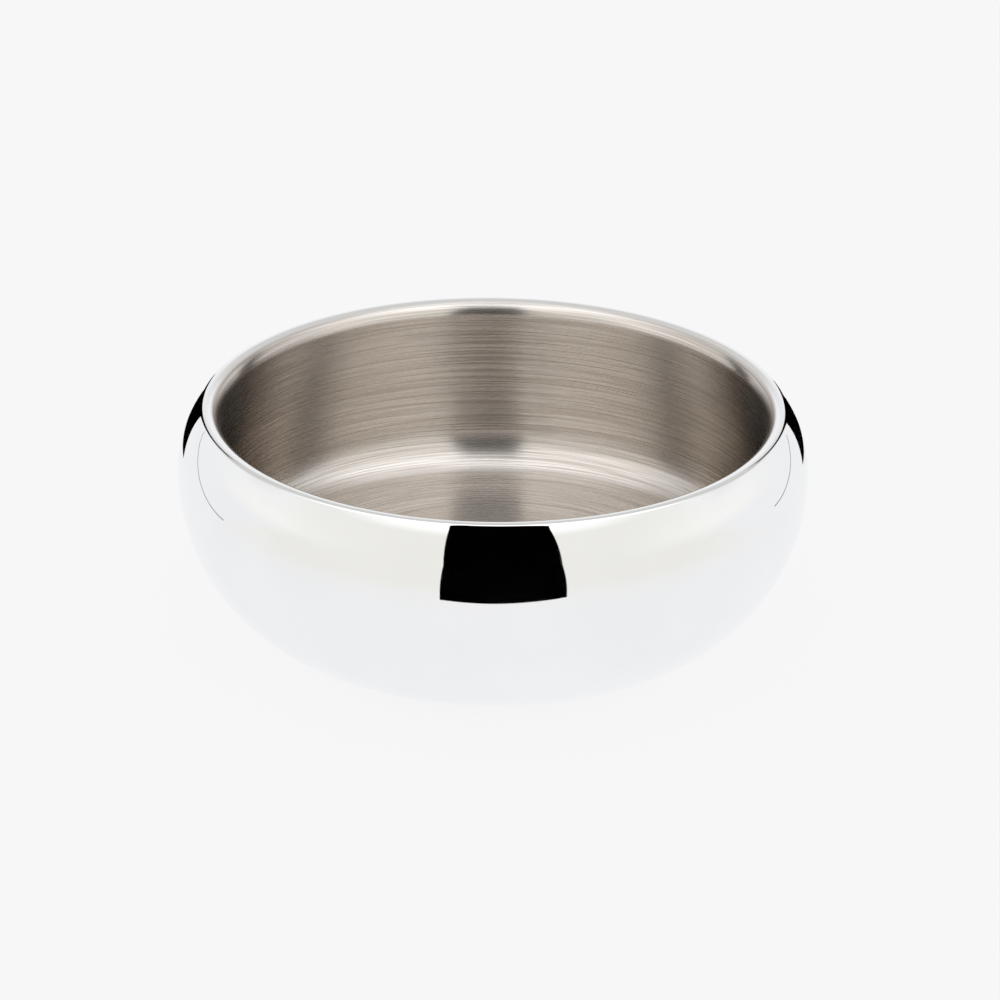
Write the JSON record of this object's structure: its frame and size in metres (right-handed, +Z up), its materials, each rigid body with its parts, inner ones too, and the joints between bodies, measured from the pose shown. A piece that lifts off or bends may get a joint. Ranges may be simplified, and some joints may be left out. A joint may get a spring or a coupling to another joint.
{
  "type": "shaving bowl",
  "caption": "Low double-walled steel shaving mug with a bulging mirror-polished outside, a rolled lip and a brushed bowl for lather.",
  "frame": {"origin": "on the bowl's axis, at the level it stands on", "axes": "+Z up along the bowl's axis, out of its mouth; X and Y are alike because the bowl is round"},
  "size_m": [0.11, 0.11, 0.0425],
  "materials": {
    "brushed_bowl": "circular brushed inside, polished over the lip",
    "polished_shell": "mirror-polished stainless steel",
    "polished_weld": "weld ground flush and mirror-polished",
    "satin_base": "satin spun stainless steel",
    "base_bead": "weld bead, brushed flush",
    "plug_steel": "plain turned steel"
  },
  "bodies": {
    "root": {"inner_bowl": "brushed_bowl", "outer_shell": "polished_shell", "rim_weld": "polished_weld", "base_plate": "satin_base", "base_weld": "base_bead", "vent_plug": "plug_steel"}
  },
  "joints": []
}
